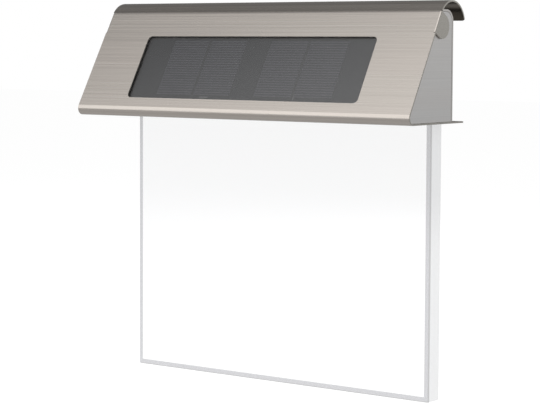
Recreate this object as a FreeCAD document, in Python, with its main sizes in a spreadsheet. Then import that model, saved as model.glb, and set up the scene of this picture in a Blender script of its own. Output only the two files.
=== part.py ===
"""Solar fence light: a bent sheet hood that hooks over a fence rod and carries an edge-lit clear plate.

Every piece is drawn on the bench: X runs along the hood from its middle, Y is 0 at the rearmost line of
the curl and negative towards the front, and Z is 0 at the outer face of the underside. Each piece's
Placement then moves it so that the origin lies on the axis of the fence rod in the hook.
"""
import FreeCAD, Part
import math
import os
import Sketcher

SIZES = {
    # hood: one sheet, seen from the side
    "hood_width": 205.0,  # end to end
    "hood_depth": 50.6,  # front bend to curl
    "hood_sheet": 0.8,
    "slope_angle": 60.0,  # of the solar slope above the underside, in degrees
    "front_bend": 3.5,  # outer radius between slope and underside
    "curl_radius": 12.1,  # outer radius of the hook
    "curl_stop": 12.0,  # where the curl ends, above its centre's level, in degrees
    "tip_corner": 1.0,  # rounding of the curl's two rear corners
    "foot_setback": 0.9,  # from the curl's rearmost line to the tips of the rear feet
    "foot_width": 8.2,  # of the two strips of underside beside the plate
    # solar window, measured up the slope from where it would meet the underside
    "window_margin": 31.1,  # from the hood's ends
    "window_low": 11.3,
    "window_height": 36.6,
    "window_corner": 2.5,
    # fold-over tabs at the ends of the slope
    "tab_width": 11.8,
    "tab_length": 10.6,
    "tab_past_curl": 1.0,  # how far its upper side runs past the start of the curl
    "tab_relief": 0.3,  # notches beside the fold
    "fold_round": 0.7,
    # end plates
    "plate_sheet": 0.8,
    "plate_recess": 1.0,  # from the hood's end to the plate's face
    "lip_width": 9.0,  # folded lips, measured inwards
    "lip_top": 47.4,  # height of the rear lips' upper ends
    "lip_setback": 2.0,  # from a lip's other ends to what they face
    "seam": 0.1,  # gap of a glued or welded joint
    # rear cover
    "rod_radius": 4.0,  # of the fence rod in the hook
    "hook_gap": 8.8,  # between the cover and the end of the curl
    "cover_sheet": 1.0,
    "cover_bend": 6.0,  # outer radius under the curl
    "curl_room": 3.7,  # between the top of the cover and the curl above it
    # clear plate and the rail that grips it
    "clear_inset": 10.5,  # from the hood's ends to the clear plate's
    "clear_thickness": 10.0,
    "clear_drop": 136.6,  # below the underside
    "clear_grip": 10.2,  # above the underside
    "clear_back": 3.1,  # from the curl's rearmost line to the plate's rear face
    "clear_bevel": 0.6,
    "rail_fit": 0.2,  # play of the plate in the rail, each side
    "rail_wall": 1.8,
    "rail_height": 15.4,
    "rail_lip": 7.8,  # front flange on the underside
    "rail_play": 0.3,  # between the rail and the cut-outs round it
    "clamp_boss": 3.5,  # in front of the rail
    "boss_wall": 1.8,
    "boss_floor": 0.8,  # left at the blind end of a pilot hole
    "led_thickness": 1.6,
    "led_length": 3.5,
    "led_width": 2.8,
    "strip_width": 8.4,
    "strip_inset": 6.0,  # from the clear plate's ends to the light strip's
    "board_thickness": 1.0,
    # solar module, behind the slope
    "gasket_thickness": 0.3,
    "gasket_overlap": 3.6,  # round the window
    "glass_thickness": 0.8,
    "cell_width": 22.4,
    "cell_height": 34.0,
    "cell_thickness": 0.3,
    "cell_split": 1.8,  # within a pair
    "pair_split": 15.4,  # between the two pairs
    "backboard_thickness": 1.2,
    "module_corner": 1.0,
    "ribbon_width": 1.2,  # of the one that joins the pairs
    # battery bay: its cell lies along X
    "cell_radius": 7.25,
    "cell_length": 50.4,
    "bay_share": 0.31,  # its place along the hood, as a share of half the hood's width
    "bay_lift": 1.2,  # between the rail and the bay's door
    "cell_setback": 0.4,  # from the cover's rear face to the cell
    "bay_play": 0.2,
    "bay_wall": 1.2,
    "bay_flange": 1.6,
    "bay_corner": 1.5,
    "boss_length": 5.0,  # of the holder's screw bosses
    "cell_rim": 0.5,  # rounding
    "nub_length": 1.2,
    "nub_radius": 2.75,
    "tail_rise": 3.8,  # of the contacts' solder tails above the cell's axis
    "tail_half": 1.5,
    "tail_length": 2.0,
    "contact_room": 2.3,  # at each end of the cell
    "contact_sheet": 0.4,
    "contact_half": 4.3,  # half the side of the contacts' square plates
    "door_thickness": 2.0,
    "door_margin": 1.0,  # round its screw heads
    "door_corner": 2.0,
    "door_rim": 0.6,  # rounding
    "seal_thickness": 0.8,
    "seal_width": 2.6,
    # control board
    "control_share": -0.37,
    "control_lift": 4.1,  # between the rail and the board
    "control_length": 40.0,
    "control_width": 24.0,
    "control_standoff": 4.5,
    "post_margin": 0.9,  # from a screw head to the board's edge
    "chip_across": -3.5,  # places on the board, from its middle
    "chip_length": 9.0,
    "chip_width": 4.8,
    "chip_height": 2.4,
    "leg_pitch": 2.2,
    "leg_width": 0.6,
    "leg_reach": 1.1,
    "coil_across": 8.0,
    "coil_up": 4.5,
    "coil_radius": 3.8,
    "coil_height": 4.8,
    "capacitor_across": -12.5,
    "capacitor_up": 3.0,
    "capacitor_radius": 3.1,
    "capacitor_height": 6.4,
    "resistor_pitch": 3.2,
    "resistor_drop": 6.5,  # below the board's middle
    "resistor_length": 2.0,
    "resistor_width": 1.3,
    "resistor_height": 0.6,
    # slide switch
    "switch_share": -0.74,
    "switch_travel": 3.0,
    "switch_screw_reach": 4.2,  # from the slot's end to a screw's axis
    "switch_corner": 0.8,
    "knob_length": 3.4,
    "knob_width": 2.6,
    "knob_out": 2.2,  # past the cover's rear face
    "knob_shoulder": 0.8,  # the slider's base is wider than the knob by this all round
    "knob_base": 2.6,
    "frame_sheet": 0.6,
    "pin_spacing": 2.5,
    "pin_length": 2.4,
    "pin_width": 0.8,
    "groove_depth": 0.3,
    "groove_width": 0.4,
    "slide_play": 0.3,
    # screws
    "screw_radius": 1.2,
    "screw_head_radius": 2.3,
    "screw_head_height": 1.4,
    "clamp_radius": 1.5,
    "clamp_head_radius": 2.8,
    "clamp_head_height": 1.0,
    "cross_half": 0.35,  # half the width of a cross recess's arms
    "screw_play": 0.2,  # in a clearance hole
    "pilot_play": 0.05,  # in a thread's pilot hole
    "wire_radius": 0.55,
    "wire_bend": 2.0,
    "wire_pitch": 3.0,  # between the two wires of a pair
    "wire_lane": 3.0,  # from the control board's face to the wires that pass it
    "wire_lead": 4.0,  # straight run out of a contact
    "wire_room": 1.2,
}


class Size:
    """A number together with the formula over the sheet that gives it."""

    def __init__(self, value, formula):
        self.value = float(value)
        self.formula = formula

    def combined(self, other, sign, value):
        return Size(value, f"({self.formula} {sign} {as_size(other).formula})")

    def __add__(self, other):
        return self.combined(other, "+", self.value + as_size(other).value)

    def __sub__(self, other):
        return self.combined(other, "-", self.value - as_size(other).value)

    def __mul__(self, other):
        return self.combined(other, "*", self.value * as_size(other).value)

    def __truediv__(self, other):
        return self.combined(other, "/", self.value / as_size(other).value)

    def __neg__(self):
        return Size(-self.value, f"(-{self.formula})")

    def __radd__(self, other):
        return as_size(other) + self

    def __rsub__(self, other):
        return as_size(other) - self

    def __rmul__(self, other):
        return as_size(other) * self

    def __lt__(self, other):
        return self.value < as_size(other).value


def as_size(number):
    return number if isinstance(number, Size) else Size(number, f"({number})")


def sine(angle):
    return Size(math.sin(math.radians(angle.value)), f"sin({angle.formula})")


def cosine(angle):
    return Size(math.cos(math.radians(angle.value)), f"cos({angle.formula})")


def root(square):
    return Size(math.sqrt(square.value), f"sqrt({square.formula})")


doc = FreeCAD.newDocument("fence_light")
sheet = doc.addObject("Spreadsheet::Sheet", "Sizes")
for row, (name, number) in enumerate(SIZES.items(), start=1):
    sheet.set(f"A{row}", name)
    sheet.set(f"B{row}", str(number))
    sheet.setAlias(f"B{row}", name)
doc.recompute()


def size(name):
    return Size(SIZES[name], f"Sizes.{name}")


# --- places that several pieces share -------------------------------------------------------------

half_width = size("hood_width") / 2
sheet_gauge = size("hood_sheet")
seam = size("seam")
slope_sine = sine(size("slope_angle"))
slope_cosine = cosine(size("slope_angle"))

bend_y = size("front_bend") - size("hood_depth")
bend_z = size("front_bend")
slope_foot = bend_y - size("front_bend") * (1 + slope_cosine) / slope_sine
curl_y = -size("curl_radius")
curl_z = ((curl_y - slope_foot) * slope_sine - size("curl_radius")) / slope_cosine
slope_end = (curl_y - slope_foot) * slope_cosine + curl_z * slope_sine
inner_curl = size("curl_radius") - sheet_gauge

cover_back = -(sheet_gauge + size("hook_gap"))
cover_front = cover_back - size("cover_sheet")
cover_top = curl_z + inner_curl - size("curl_room")
plate_face = half_width - size("plate_recess")
plate_inside = plate_face - size("plate_sheet")
plate_back = cover_front - seam

clear_half = half_width - size("clear_inset")
strip_half = clear_half - size("strip_inset")
clear_back = -size("clear_back")
clear_front = clear_back - size("clear_thickness")
clear_middle = (clear_back + clear_front) / 2
rail_back = clear_back + size("rail_fit") + size("rail_wall")
rail_front = clear_front - size("rail_fit") - size("rail_wall")
rail_end = clear_half + size("rail_fit") + size("rail_wall")
rail_flange_front = rail_front - size("rail_lip")
rail_roof = size("rail_height") - size("rail_wall")
rail_screw_y = rail_front - size("rail_lip") / 2
notch_front = rail_front - size("rail_play")
notch_side = half_width - size("foot_width")

bay_middle = half_width * size("bay_share")
bay_y = cover_back - size("cell_setback") - size("cell_radius")
bay_inside = size("cell_radius") + size("bay_play")
bay_outside = bay_inside + size("bay_wall")
bay_half = size("cell_length") / 2 + size("contact_room")
bay_end = bay_half + size("bay_wall")
door_screw_x = bay_half + size("seal_width") + size("screw_head_radius") + size("door_margin")
door_half = door_screw_x + size("screw_head_radius") + size("door_margin")
door_rise = bay_inside + size("seal_width")
bay_z = size("rail_height") + size("bay_lift") + door_rise
switch_x = half_width * size("switch_share")
switch_z = bay_z

# the seated rod touches the curl from inside and the rear cover's bend from outside
cover_bend_y = cover_back - size("cover_bend")
cover_bend_z = cover_top - size("cover_bend")
rod_from_curl = inner_curl - size("rod_radius")
rod_from_cover = size("cover_bend") + size("rod_radius")
centres_y = cover_bend_y - curl_y
centres_z = cover_bend_z - curl_z
centres_gap = root(centres_y * centres_y + centres_z * centres_z)
reach_difference = rod_from_curl * rod_from_curl - rod_from_cover * rod_from_cover
rod_along = (reach_difference / centres_gap + centres_gap) / 2
rod_across = root(rod_from_curl * rod_from_curl - rod_along * rod_along)
rod_y = curl_y + (centres_y * rod_along + centres_z * rod_across) / centres_gap
rod_z = curl_z + (centres_z * rod_along - centres_y * rod_across) / centres_gap


def on_slope(along, depth):
    """Y and Z of a point so far up the slope and so far in behind its outer face."""
    y = slope_foot + along * slope_cosine + depth * slope_sine
    z = along * slope_sine - depth * slope_cosine
    return y, z


# --- ways to draw ---------------------------------------------------------------------------------

def bind(thing, place, amount):
    thing.setExpression(place, as_size(amount).formula)


def place(piece, y=0.0, z=0.0, tilt=None):
    """Move a piece from the bench so that the fence rod's axis is the origin."""
    if tilt is not None:
        turn = FreeCAD.Rotation(FreeCAD.Vector(1, 0, 0), tilt.value)
        piece.Placement = FreeCAD.Placement(FreeCAD.Vector(), turn)
        bind(piece, "Placement.Rotation.Angle", tilt)
    bind(piece, "Placement.Base.y", y - rod_y)
    bind(piece, "Placement.Base.z", z - rod_z)


def new_body(label):
    body = doc.addObject("PartDesign::Body", label)
    body.Label = label
    place(body)
    return body


def slope_body(label):
    """A body whose own XY plane lies on the slope's outer face: X along the hood, Y up the slope."""
    body = doc.addObject("PartDesign::Body", label)
    body.Label = label
    place(body, slope_foot, 0.0, size("slope_angle"))
    return body


def arc_between(start, end, radius):
    """The shorter arc from start to end, left-handed for a positive radius, right-handed for a negative."""
    chord = end - start
    middle = (start + end) * 0.5
    rise = math.sqrt(max(radius * radius - chord.Length ** 2 / 4, 0.0))
    left = FreeCAD.Vector(-chord.y, chord.x, 0).normalize()
    centre = middle + left * (rise if radius > 0 else -rise)
    first, last = (start, end) if radius > 0 else (end, start)
    angles = [math.atan2(point.y - centre.y, point.x - centre.x) for point in (first, last)]
    circle = Part.Circle(centre, FreeCAD.Vector(0, 0, 1), abs(radius))
    return Part.ArcOfCircle(circle, angles[0], angles[1])


def named(constraint, name):
    constraint.Name = name
    return constraint


def fixed_point(geometry, which, x, y):
    """The two constraints that place a point, each with its amount."""
    wanted = []
    for kind, amount in (("DistanceX", as_size(x)), ("DistanceY", as_size(y))):
        constraint = Sketcher.Constraint(kind, -1, 1, geometry, which, amount.value)
        wanted.append((named(constraint, f"{kind[-1]}_{geometry}_{which}"), amount))
    return wanted


def fixed_radius(geometry, radius):
    amount = -radius if radius < 0 else radius
    constraint = Sketcher.Constraint("Radius", geometry, amount.value)
    return [(named(constraint, f"radius_{geometry}"), amount)]


def constrain(sketch, wanted):
    """Add the constraints together, then bind those that carry a size."""
    sketch.addConstraint([constraint for constraint, amount in wanted])
    for constraint, amount in wanted:
        if amount is not None:
            bind(sketch, f"Constraints.{constraint.Name}", amount)


def draw_outline(sketch, corners):
    """Draw a closed outline. A corner is (x, y), or (x, y, radius) where an arc leads to it."""
    points = [FreeCAD.Vector(as_size(corner[0]).value, as_size(corner[1]).value, 0) for corner in corners]
    spans = []
    wanted = []
    for index, corner in enumerate(corners):
        start = points[index - 1]
        end = points[index]
        if len(corner) == 3:
            radius = as_size(corner[2])
            geometry = sketch.addGeometry(arc_between(start, end, radius.value), False)
            wanted += fixed_radius(geometry, radius)
            spans.append((geometry, 2, 1) if radius < 0 else (geometry, 1, 2))
        else:
            spans.append((sketch.addGeometry(Part.LineSegment(start, end), False), 1, 2))
    for index, (geometry, first, last) in enumerate(spans):
        following = spans[(index + 1) % len(spans)]
        joint = Sketcher.Constraint("Coincident", geometry, last, following[0], following[1])
        wanted.append((joint, None))
        wanted += fixed_point(geometry, last, corners[index][0], corners[index][1])
    constrain(sketch, wanted)


def draw_circle(sketch, x, y, radius):
    centre = FreeCAD.Vector(as_size(x).value, as_size(y).value, 0)
    circle = Part.Circle(centre, FreeCAD.Vector(0, 0, 1), as_size(radius).value)
    geometry = sketch.addGeometry(circle, False)
    constrain(sketch, fixed_point(geometry, 3, x, y) + fixed_radius(geometry, as_size(radius)))


def rectangle(x_low, x_high, y_low, y_high):
    return [(x_low, y_low), (x_high, y_low), (x_high, y_high), (x_low, y_high)]


def rounded(x_low, x_high, y_low, y_high, radius):
    return [
        (x_high - radius, y_low), (x_high, y_low + radius, radius),
        (x_high, y_high - radius), (x_high - radius, y_high, radius),
        (x_low + radius, y_high), (x_low, y_high - radius, radius),
        (x_low, y_low + radius), (x_low + radius, y_low, radius),
    ]


def about(middle_x, middle_y, reach_x, reach_y):
    """A rectangle's four limits from its middle and its half sizes."""
    return middle_x - reach_x, middle_x + reach_x, middle_y - reach_y, middle_y + reach_y


def new_sketch(body, name, plane, height, outlines=(), circles=()):
    """A sketch at so much X, Y or Z on the body's YZ, XZ or XY plane."""
    sketch = body.newObject("Sketcher::SketchObject", name)
    support = next(feature for feature in body.Origin.OriginFeatures if feature.Role == f"{plane}_Plane")
    sketch.AttachmentSupport = (support, [""])
    sketch.MapMode = "FlatFace"
    bind(sketch, "AttachmentOffset.Base.z", -height if plane == "XZ" else height)
    for outline in outlines:
        draw_outline(sketch, outline)
    for circle in circles:
        draw_circle(sketch, *circle)
    return sketch


def add(body, name, plane, low, high, outlines=(), circles=(), taper=0.0):
    """Pad from low to high along the plane's axis."""
    low = as_size(low)
    high = as_size(high)
    start = high if plane == "XZ" else low
    pad = body.newObject("PartDesign::Pad", f"{name}_pad")
    pad.Profile = new_sketch(body, f"{name}_sketch", plane, start, outlines, circles)
    bind(pad, "Length", high - low)
    pad.TaperAngle = taper
    doc.recompute()
    return pad


def cut(body, name, plane, low, high, outlines=(), circles=()):
    """Pocket from high down to low along the plane's axis; it has to take material away."""
    low = as_size(low)
    high = as_size(high)
    before = body.Shape.Volume
    start = low if plane == "XZ" else high
    pocket = body.newObject("PartDesign::Pocket", f"{name}_pocket")
    pocket.Profile = new_sketch(body, f"{name}_sketch", plane, start, outlines, circles)
    bind(pocket, "Length", high - low)
    doc.recompute()
    if body.Shape.Volume >= before:
        raise ValueError(f"{name} cuts nothing from {body.Label}")
    return pocket


def round_edges(body, name, radius, wanted):
    """Fillet the edges for which wanted(edge) is true."""
    tip = body.Tip
    edges = [f"Edge{number}" for number, edge in enumerate(tip.Shape.Edges, start=1) if wanted(edge)]
    fillet = body.newObject("PartDesign::Fillet", f"{name}_fillet")
    fillet.Base = (tip, edges)
    bind(fillet, "Radius", radius)
    doc.recompute()
    return fillet


def bevel_edges(body, name, amount, wanted):
    tip = body.Tip
    edges = [f"Edge{number}" for number, edge in enumerate(tip.Shape.Edges, start=1) if wanted(edge)]
    chamfer = body.newObject("PartDesign::Chamfer", f"{name}_chamfer")
    chamfer.Base = (tip, edges)
    bind(chamfer, "Size", amount)
    doc.recompute()
    return chamfer


def is_round(edge):
    return edge.Curve.TypeId == "Part::GeomCircle"


def near(value, amount):
    return abs(value - as_size(amount).value) < 1e-4


def runs_along(edge, axis):
    """True for a straight edge parallel to the axis."""
    if edge.Curve.TypeId != "Part::GeomLine":
        return False
    return abs(abs(edge.tangentAt(edge.FirstParameter).dot(axis)) - 1) < 1e-6


Z_AXIS = FreeCAD.Vector(0, 0, 1)


def span(side, low, high):
    """The stretch from low to high on one side of the middle, lowest first."""
    return (low, high) if side > 0 else (-high, -low)


# --- hood -----------------------------------------------------------------------------------------

hood = new_body("hood")


def tangent_points(radius_at_bend, radius_at_curl):
    """Where the slope's line leaves the bend and meets the curl, for one face of the sheet."""
    leaves = (bend_y - radius_at_bend * slope_sine, bend_z + radius_at_bend * slope_cosine)
    meets = (curl_y - radius_at_curl * slope_sine, curl_z + radius_at_curl * slope_cosine)
    return leaves, meets


def curl_tip(radius):
    stop = size("curl_stop")
    return curl_y + radius * cosine(stop), curl_z + radius * sine(stop)


outer_leaves, outer_meets = tangent_points(size("front_bend"), size("curl_radius"))
inner_leaves, inner_meets = tangent_points(size("front_bend") - sheet_gauge, inner_curl)
foot_tip = -size("foot_setback")
add(hood, "bent_sheet", "YZ", -half_width, half_width, [[
    (foot_tip, 0.0),
    (bend_y, 0.0),
    (*outer_leaves, -size("front_bend")),
    outer_meets,
    (*curl_tip(size("curl_radius")), -size("curl_radius")),
    curl_tip(inner_curl),
    (*inner_meets, inner_curl),
    inner_leaves,
    (bend_y, sheet_gauge, size("front_bend") - sheet_gauge),
    (foot_tip, sheet_gauge),
]])
cut(hood, "plate_notch", "XY", -sheet_gauge, sheet_gauge * 2,
    [rectangle(-notch_side, notch_side, notch_front, sheet_gauge)])
rail_screw_spots = [(strip_half * share, rail_screw_y) for share in (-0.98, -1 / 3, 1 / 3, 0.98)]
cut(hood, "rail_screw_holes", "XY", -sheet_gauge, sheet_gauge * 2, circles=[
    (x, y, size("screw_radius") + size("screw_play")) for x, y in rail_screw_spots])


def slope_cut(name, outlines):
    """Cut square through the sloping sheet; the outlines run along X and up the slope."""
    before = hood.Shape.Volume
    pocket = hood.newObject("PartDesign::Pocket", f"{name}_pocket")
    sketch = new_sketch(hood, f"{name}_sketch", "XZ", 0.0, outlines)
    lean = FreeCAD.Rotation(FreeCAD.Vector(-1, 0, 0), 90 - SIZES["slope_angle"])
    sketch.AttachmentOffset = FreeCAD.Placement(FreeCAD.Vector(), lean)
    above = sheet_gauge
    bind(sketch, "AttachmentOffset.Rotation.Angle", 90 - size("slope_angle"))
    bind(sketch, "AttachmentOffset.Base.y", above * slope_cosine)
    bind(sketch, "AttachmentOffset.Base.z", above * slope_sine - slope_foot)
    pocket.Profile = sketch
    bind(pocket, "Length", sheet_gauge + above * 2)
    doc.recompute()
    if hood.Shape.Volume >= before:
        raise ValueError(f"{name} cuts nothing from the hood")


window_half = half_width - size("window_margin")
window_top = size("window_low") + size("window_height")
window_outline = rounded(-window_half, window_half, size("window_low"), window_top, size("window_corner"))
slope_cut("window", [window_outline])

tab_high = slope_end + size("tab_past_curl")
tab_low = tab_high - size("tab_width")
tab_round = size("tab_width") / 2
tab_straight = size("tab_length") - tab_round
tab_middle = tab_low + tab_round
for side, end in ((1, "right"), (-1, "left")):
    low, high = span(side, half_width - sheet_gauge, half_width)
    add(hood, f"tab_{end}", "YZ", low, high, [[
        on_slope(tab_low, sheet_gauge / 2),
        on_slope(tab_high, sheet_gauge / 2),
        on_slope(tab_high, tab_straight),
        (*on_slope(tab_middle, size("tab_length")), -tab_round),
        (*on_slope(tab_low, tab_straight), -tab_round),
    ]])
relief_outlines = []
for side in (1, -1):
    low, high = span(side, half_width - sheet_gauge, half_width + sheet_gauge)
    for start in (tab_low - size("tab_relief"), tab_high):
        relief_outlines.append(rectangle(low, high, start, start + size("tab_relief")))
slope_cut("fold_reliefs", relief_outlines)


def is_fold(edge):
    """True for the outer edge of the slope along a tab's fold."""
    middle = edge.valueAt((edge.FirstParameter + edge.LastParameter) / 2)
    if not near(abs(middle.x), half_width) or edge.Length < 0.5:
        return False
    ends = [edge.valueAt(edge.FirstParameter), edge.valueAt(edge.LastParameter)]
    for point in ends + [middle]:
        along = (point.y - slope_foot.value) * slope_cosine.value + point.z * slope_sine.value
        depth = (point.y - slope_foot.value) * slope_sine.value - point.z * slope_cosine.value
        if along < tab_low.value - 0.01 or along > tab_high.value + 0.01 or abs(depth) > 0.1:
            return False
    return True


def is_tip_corner(edge):
    """True for the two short edges at the ends of the curl's free edge."""
    middle = edge.CenterOfMass
    at_end = near(abs(middle.x), half_width) and near(edge.Length, sheet_gauge)
    return at_end and middle.y > cover_back.value and middle.z > curl_z.value


round_edges(hood, "fold", size("fold_round"), is_fold)
round_edges(hood, "tip", size("tip_corner"), is_tip_corner)

# --- end plates -----------------------------------------------------------------------------------

cover_screw_x = plate_inside - size("lip_width") / 2
setback = size("lip_setback")
screw_pilot = size("screw_radius") + size("pilot_play")
lip_foot = size("rail_height") + setback
lip_top = size("lip_top")
cover_screw_heights = (lip_foot + size("lip_width") - setback, lip_top + setback - size("lip_width"))
inset = sheet_gauge + seam
plate_bend = size("front_bend") - inset
plate_slope_low = (bend_y - plate_bend * slope_sine, bend_z + plate_bend * slope_cosine)
plate_curl = inner_curl - seam
plate_slope_top = (curl_y - plate_curl * slope_sine, curl_z + plate_curl * slope_cosine)
inner_cover_bend = size("cover_bend") - size("cover_sheet")
plate_roof = cover_top - size("cover_sheet") - seam
roof_rise = plate_roof - curl_z
plate_roof_end = curl_y - root(plate_curl * plate_curl - roof_rise * roof_rise)
for side, end in ((1, "right"), (-1, "left")):
    plate = new_body(f"side_plate_{end}")
    low, high = span(side, plate_inside, plate_face)
    add(plate, f"plate_{end}", "YZ", low, high, [[
        (plate_back, inset),
        (plate_back, cover_bend_z),
        (cover_bend_y, plate_roof, inner_cover_bend - seam),
        (plate_roof_end, plate_roof),
        (*plate_slope_top, plate_curl),
        plate_slope_low,
        (bend_y, inset, plate_bend),
    ]])
    low, high = span(side, plate_inside - size("lip_width"), plate_face)
    add(plate, f"bottom_lip_{end}", "XY", inset, inset + size("plate_sheet"),
        [rectangle(low, high, bend_y, rail_flange_front - setback)])
    add(plate, f"rear_lip_{end}", "XZ", plate_back - size("plate_sheet"), plate_back,
        [rectangle(low, high, lip_foot, lip_top)])
    cut(plate, f"cover_pilots_{end}", "XZ", plate_back - size("plate_sheet") * 2, plate_back + seam,
        circles=[(side * cover_screw_x, height, screw_pilot) for height in cover_screw_heights])

    def is_folded(edge):
        middle = edge.CenterOfMass
        outside = near(abs(middle.x), plate_face)
        at_back = runs_along(edge, Z_AXIS) and near(middle.y, plate_back)
        return outside and at_back

    round_edges(plate, f"plate_fold_{end}", size("plate_sheet") * 0.3, is_folded)

# --- rear cover -----------------------------------------------------------------------------------

rear_cover = new_body("rear_cover")
cover_rise = cover_top - curl_z
cover_lip_end = curl_y - root(inner_curl * inner_curl - cover_rise * cover_rise) + seam
add(rear_cover, "bent_cover", "YZ", -plate_face, plate_face, [[
    (cover_back, inset),
    (cover_back, cover_bend_z),
    (cover_bend_y, cover_top, size("cover_bend")),
    (cover_lip_end, cover_top),
    (cover_lip_end, cover_top - size("cover_sheet")),
    (cover_bend_y, cover_top - size("cover_sheet")),
    (cover_front, cover_bend_z, -inner_cover_bend),
    (cover_front, inset),
]])
through_cover = (cover_front - seam, cover_back + seam)
rail_cutout = rail_end + size("rail_play")
rail_cutout_top = size("rail_height") + size("rail_play")
cut(rear_cover, "rail_cutout", "XZ", *through_cover,
    [rectangle(-rail_cutout, rail_cutout, 0.0, rail_cutout_top)])
cut(rear_cover, "battery_opening", "XZ", *through_cover,
    [rounded(*about(bay_middle, bay_z, bay_half, bay_inside), size("bay_corner"))])
slot_half = (size("knob_length") + size("switch_travel")) / 2 + size("slide_play") * 2
slot_rise = size("knob_width") / 2 + size("slide_play") * 2
cut(rear_cover, "switch_slot", "XZ", *through_cover,
    [rounded(*about(switch_x, switch_z, slot_half, slot_rise), size("switch_corner"))])
switch_screw_x = slot_half + size("switch_screw_reach")
switch_screw_spots = [(switch_x + switch_screw_x * side, switch_z) for side in (-1, 1)]
door_screw_spots = [(bay_middle + door_screw_x * side, bay_z) for side in (-1, 1)]
cover_screw_spots = [(cover_screw_x * side, height) for side in (-1, 1) for height in cover_screw_heights]
screw_hole = size("screw_radius") + size("screw_play")
cut(rear_cover, "cover_holes", "XZ", *through_cover, circles=[
    (x, z, screw_hole) for x, z in cover_screw_spots + door_screw_spots + switch_screw_spots])

# --- solar module: X along the hood, Y up the slope, Z out of it ------------------------------------

gasket_top = -sheet_gauge - seam / 2
glass_top = gasket_top - size("gasket_thickness") - seam / 2
glass_low = glass_top - size("glass_thickness")
cell_top = glass_low - seam / 2
cell_low = cell_top - size("cell_thickness")
backboard_top = cell_low - seam / 2
backboard_low = backboard_top - size("backboard_thickness")
module_half = window_half + size("gasket_overlap")
module_low = size("window_low") - size("gasket_overlap")
module_high = window_top + size("gasket_overlap")
module_outline = rounded(-module_half, module_half, module_low, module_high, size("module_corner"))

window_gasket = slope_body("window_gasket")
add(window_gasket, "frame", "XY", gasket_top - size("gasket_thickness"), gasket_top,
    [module_outline, window_outline])
solar_glass = slope_body("solar_glass")
add(solar_glass, "pane", "XY", glass_low, glass_top, [module_outline])

cell_centre = size("window_low") + size("window_height") / 2
cell_half_width = size("cell_width") / 2
cell_half_height = size("cell_height") / 2
pair_centre = size("pair_split") / 2 + size("cell_width") + size("cell_split") / 2
cell_offset = (size("cell_width") + size("cell_split")) / 2
cell_outlines = []
for pair in (-1, 1):
    for half in (-1, 1):
        middle = pair_centre * pair + cell_offset * half
        cell_outlines.append(rectangle(*about(middle, cell_centre, cell_half_width, cell_half_height)))
solar_cells = slope_body("solar_cells")
add(solar_cells, "wafers", "XY", cell_low, cell_top, cell_outlines)

ribbon_half = size("cell_split") / 2 - seam
ribbon_outlines = []
for pair in (-1, 1):
    middle = pair_centre * pair
    ribbon_outlines.append(rectangle(*about(middle, cell_centre, ribbon_half, cell_half_height)))
bridge_half = size("pair_split") / 2 - seam
bridge_low = cell_centre - cell_half_height
ribbon_outlines.append(rectangle(-bridge_half, bridge_half, bridge_low, bridge_low + size("ribbon_width")))
cell_ribbons = slope_body("cell_ribbons")
add(cell_ribbons, "strips", "XY", cell_low, cell_top, ribbon_outlines)

solar_backboard = slope_body("solar_backboard")
add(solar_backboard, "backboard", "XY", backboard_low, backboard_top, [module_outline])

# --- clear plate and the rail that grips it --------------------------------------------------------

clamp_height = size("clear_grip") / 2
clamp_spots = [(strip_half * share, clamp_height) for share in (-2 / 3, 0.0, 2 / 3)]
clamp_hole = size("clamp_radius") + size("screw_play")
acrylic_plate = new_body("acrylic_plate")
add(acrylic_plate, "slab", "XZ", clear_front, clear_back,
    [rectangle(-clear_half, clear_half, -size("clear_drop"), size("clear_grip"))])


def is_plate_rim(edge):
    """True for every edge of the plate below its hidden top."""
    return edge.CenterOfMass.z < SIZES["clear_grip"] - SIZES["clear_bevel"]


bevel_edges(acrylic_plate, "rim", size("clear_bevel"), is_plate_rim)
cut(acrylic_plate, "clamp_holes", "XZ", clear_front - seam, clear_back + seam,
    circles=[(x, z, clamp_hole) for x, z in clamp_spots])

light_rail = new_body("light_rail")
cavity_front = clear_front - size("rail_fit")
cavity_back = clear_back + size("rail_fit")
cavity_half = clear_half + size("rail_fit")
clamp_boss_front = rail_front - size("clamp_boss")
clamp_seat = rail_back - size("clamp_head_height")
screw_boss = size("screw_radius") + size("boss_wall")
add(light_rail, "channel", "XY", 0.0, size("rail_height"),
    [rectangle(-rail_end, rail_end, rail_front, rail_back)])
add(light_rail, "front_flange", "XY", inset, inset + size("rail_wall"),
    [rectangle(-rail_end, rail_end, rail_flange_front, cavity_front)])
add(light_rail, "screw_bosses", "XY", inset, size("clear_grip"),
    circles=[(x, y, screw_boss) for x, y in rail_screw_spots])
add(light_rail, "clamp_bosses", "XZ", clamp_boss_front, cavity_front,
    circles=[(x, z, size("clamp_radius") + size("boss_wall")) for x, z in clamp_spots])
cut(light_rail, "cavity", "XY", -seam, rail_roof,
    [rectangle(-cavity_half, cavity_half, cavity_front, cavity_back)])
cut(light_rail, "screw_pilots", "XY", 0.0, size("clear_grip") - size("boss_floor"),
    circles=[(x, y, screw_pilot) for x, y in rail_screw_spots])
cut(light_rail, "clamp_pilots", "XZ", clamp_boss_front + size("boss_floor"), cavity_front + seam,
    circles=[(x, z, size("clamp_radius") + size("pilot_play")) for x, z in clamp_spots])
cut(light_rail, "clamp_clearance", "XZ", cavity_back - seam, rail_back + seam,
    circles=[(x, z, clamp_hole) for x, z in clamp_spots])
cut(light_rail, "clamp_sinks", "XZ", clamp_seat, rail_back + seam,
    circles=[(x, z, size("clamp_head_radius") + size("screw_play")) for x, z in clamp_spots])

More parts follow.
